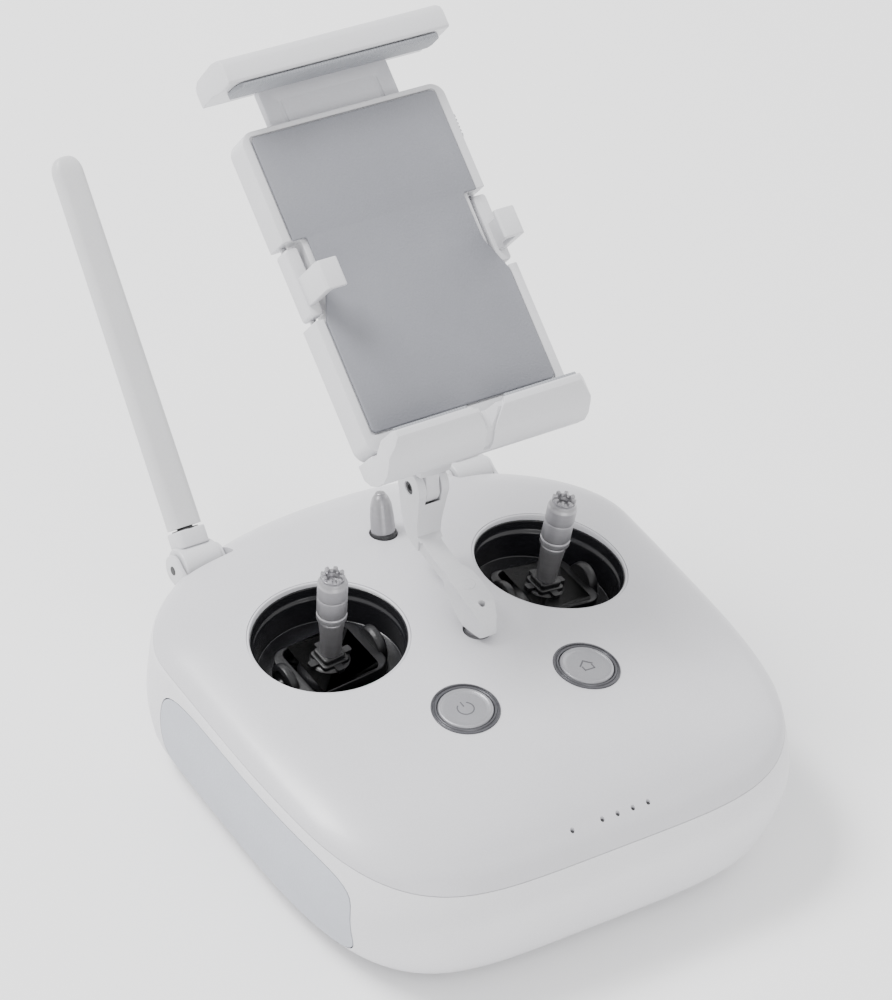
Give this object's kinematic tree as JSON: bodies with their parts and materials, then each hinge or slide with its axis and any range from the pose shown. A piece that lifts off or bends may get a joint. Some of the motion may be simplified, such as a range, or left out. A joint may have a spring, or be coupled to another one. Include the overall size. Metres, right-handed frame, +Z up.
{
  "type": "radio transmitter",
  "caption": "Handheld radio transmitter for a camera drone: rounded two-piece body, sprung control sticks in round wells, tilting device holder with clamp jaw, folding blade antennas",
  "frame": {"origin": "centre of the flat underside", "axes": "+X to the user's right, +Y away from the user towards the antennas, +Z up out of the face"},
  "size_m": [0.1745, 0.2647, 0.21],
  "materials": {
    "shell_white": "fine matte texture on the moulded shells",
    "grip_grey": "soft satin rubber",
    "well_black": "deep black, slightly glossy",
    "silver_metal": "turned, satin",
    "boot_black": "matt black",
    "holder_white": "smooth satin",
    "pad_grey": "soft matt rubber",
    "slide_grey": "satin",
    "strip_dark": "ribbed matt rubber",
    "light_grey": "satin",
    "button_silver": "bead blasted with a bright edge",
    "ring_dark": "dark trim",
    "light_window": "unlit light windows",
    "antenna_grey": "satin",
    "port_metal": "drawn steel",
    "panel_black": "matt",
    "board_green": "circuit board",
    "cell_blue": "film wrap",
    "screw_steel": "zinc plated"
  },
  "bodies": {
    "body": {"top_shell": "shell_white", "bottom_shell": "shell_white", "left_grip": "grip_grey", "right_grip": "grip_grey", "base_screws": "screw_steel", "base_pads": "grip_grey", "battery_pack": "cell_blue", "main_board": "board_green", "rear_panel": "panel_black", "usb_port": "port_metal", "charge_port": "panel_black", "left_well": "well_black", "right_well": "well_black", "power_button_ring": "ring_dark", "home_button_ring": "ring_dark", "status_light": "light_window", "battery_lights": "light_window", "rear_post": "silver_metal", "front_post": "silver_metal", "support_bracket": "holder_white", "tilt_pin": "strip_dark", "antenna_mounts": "holder_white", "antenna_pins": "strip_dark"},
    "left_gimbal_frame": {"left_gimbal": "silver_metal"},
    "left_stick_unit": {"left_boot": "boot_black", "left_stick": "silver_metal", "left_stick_head": "silver_metal"},
    "right_gimbal_frame": {"right_gimbal": "silver_metal"},
    "right_stick_unit": {"right_boot": "boot_black", "right_stick": "silver_metal", "right_stick_head": "silver_metal"},
    "power_button": {"power_button": "button_silver"},
    "home_button": {"home_button": "button_silver"},
    "record_button": {"record_button": "light_grey"},
    "shutter_button": {"shutter_button": "light_grey"},
    "playback_button": {"playback_button": "light_grey"},
    "left_dial": {"left_dial": "light_grey"},
    "right_dial": {"right_dial": "light_grey"},
    "mode_switch": {"mode_switch": "light_grey"},
    "left_custom_button": {"left_custom_button": "light_grey"},
    "right_custom_button": {"right_custom_button": "light_grey"},
    "device_holder": {"holder_neck": "holder_white", "holder_back": "holder_white", "holder_pad": "pad_grey", "bottom_lip": "holder_white", "lip_rubber": "strip_dark", "clip_pins": "screw_steel"},
    "holder_extension": {"extension_slide": "slide_grey", "top_jaw": "holder_white", "jaw_rubber": "strip_dark"},
    "left_clip": {"left_clip": "holder_white"},
    "right_clip": {"right_clip": "holder_white"},
    "release_button": {"release_button": "light_grey"},
    "left_antenna_hinge": {"left_antenna_base": "holder_white"},
    "left_antenna_blade": {"left_antenna": "antenna_grey"},
    "right_antenna_hinge": {"right_antenna_base": "holder_white"},
    "right_antenna_blade": {"right_antenna": "antenna_grey"}
  },
  "joints": [
    {"name": "left_stick_forward_back", "type": "hinge", "parent": "body", "child": "left_gimbal_frame", "pos_m": [-0.03952, 0.01846, 0.046], "axis": [0.9925, 0, 0.1221], "range_deg": [-20, 20], "stiffness_Nm_per_rad": 0.05},
    {"name": "left_stick_side_to_side", "type": "hinge", "parent": "left_gimbal_frame", "child": "left_stick_unit", "pos_m": [-0.03941, 0.01842, 0.04511], "axis": [0.0054, 0.999, -0.0443], "range_deg": [-20, 20], "stiffness_Nm_per_rad": 0.05},
    {"name": "right_stick_forward_back", "type": "hinge", "parent": "body", "child": "right_gimbal_frame", "pos_m": [0.03952, 0.01846, 0.046], "axis": [0.9925, 0, -0.1221], "range_deg": [-20, 20], "stiffness_Nm_per_rad": 0.05},
    {"name": "right_stick_side_to_side", "type": "hinge", "parent": "right_gimbal_frame", "child": "right_stick_unit", "pos_m": [0.03941, 0.01842, 0.04511], "axis": [-0.0054, 0.999, -0.0443], "range_deg": [-20, 20], "stiffness_Nm_per_rad": 0.05},
    {"name": "power_button_press", "type": "slide", "parent": "body", "child": "power_button", "axis": [0.0678, 0, -0.9977], "range_m": [0, 0.0009], "stiffness_N_per_m": 400},
    {"name": "home_button_press", "type": "slide", "parent": "body", "child": "home_button", "axis": [-0.0678, 0, -0.9977], "range_m": [0, 0.0009], "stiffness_N_per_m": 400},
    {"name": "record_button_press", "type": "slide", "parent": "body", "child": "record_button", "axis": [0.2543, -0.9671, 0], "range_m": [0, 0.0008], "stiffness_N_per_m": 400},
    {"name": "shutter_button_press", "type": "slide", "parent": "body", "child": "shutter_button", "axis": [-0.2543, -0.9671, 0], "range_m": [0, 0.0008], "stiffness_N_per_m": 400},
    {"name": "playback_button_press", "type": "slide", "parent": "body", "child": "playback_button", "axis": [-0.2543, -0.9671, 0], "range_m": [0, 0.0008], "stiffness_N_per_m": 400},
    {"name": "left_dial_turn", "type": "hinge", "parent": "body", "child": "left_dial", "pos_m": [-0.02126, 0.07973, 0.036], "axis": [0, 0, 1], "range_deg": [-25, 25], "stiffness_Nm_per_rad": 0.02},
    {"name": "right_dial_turn", "type": "hinge", "parent": "body", "child": "right_dial", "pos_m": [0.02126, 0.07973, 0.036], "axis": [0, 0, 1], "continuous": true},
    {"name": "mode_switch_slide", "type": "slide", "parent": "body", "child": "mode_switch", "axis": [-0.9671, -0.2543, 0], "range_m": [-0.0035, 0.0035]},
    {"name": "left_custom_button_press", "type": "slide", "parent": "body", "child": "left_custom_button", "axis": [0, 0, 1], "range_m": [0, 0.0008], "stiffness_N_per_m": 400},
    {"name": "right_custom_button_press", "type": "slide", "parent": "body", "child": "right_custom_button", "axis": [0, 0, 1], "range_m": [0, 0.0008], "stiffness_N_per_m": 400},
    {"name": "holder_tilt", "type": "hinge", "parent": "body", "child": "device_holder", "pos_m": [0, 0.036, 0.091], "axis": [1, 0, 0], "range_deg": [-30, 40]},
    {"name": "holder_extend", "type": "slide", "parent": "device_holder", "child": "holder_extension", "axis": [0, 0.8251, 0.565], "range_m": [-0.01, 0.05]},
    {"name": "left_clip_fold", "type": "hinge", "parent": "device_holder", "child": "left_clip", "pos_m": [-0.0336, 0.06584, 0.15617], "axis": [0, -0.8251, -0.565], "range_deg": [0, 80]},
    {"name": "right_clip_fold", "type": "hinge", "parent": "device_holder", "child": "right_clip", "pos_m": [0.0336, 0.06584, 0.15617], "axis": [0, 0.8251, 0.565], "range_deg": [0, 80]},
    {"name": "release_button_press", "type": "slide", "parent": "device_holder", "child": "release_button", "axis": [-1, 0, 0], "range_m": [0, 0.0022], "stiffness_N_per_m": 300},
    {"name": "left_antenna_fold", "type": "hinge", "parent": "body", "child": "left_antenna_hinge", "pos_m": [-0.051, 0.08, 0.043], "axis": [1, 0, 0], "range_deg": [-40, 46]},
    {"name": "left_antenna_twist", "type": "hinge", "parent": "left_antenna_hinge", "child": "left_antenna_blade", "pos_m": [-0.051, 0.09451, 0.05677], "axis": [0, 0.7254, 0.6884], "range_deg": [-90, 90]},
    {"name": "right_antenna_fold", "type": "hinge", "parent": "body", "child": "right_antenna_hinge", "pos_m": [0.051, 0.08, 0.043], "axis": [1, 0, 0], "range_deg": [-40, 46]},
    {"name": "right_antenna_twist", "type": "hinge", "parent": "right_antenna_hinge", "child": "right_antenna_blade", "pos_m": [0.051, 0.09451, 0.05677], "axis": [0, 0.7254, 0.6884], "range_deg": [-90, 90]}
  ]
}
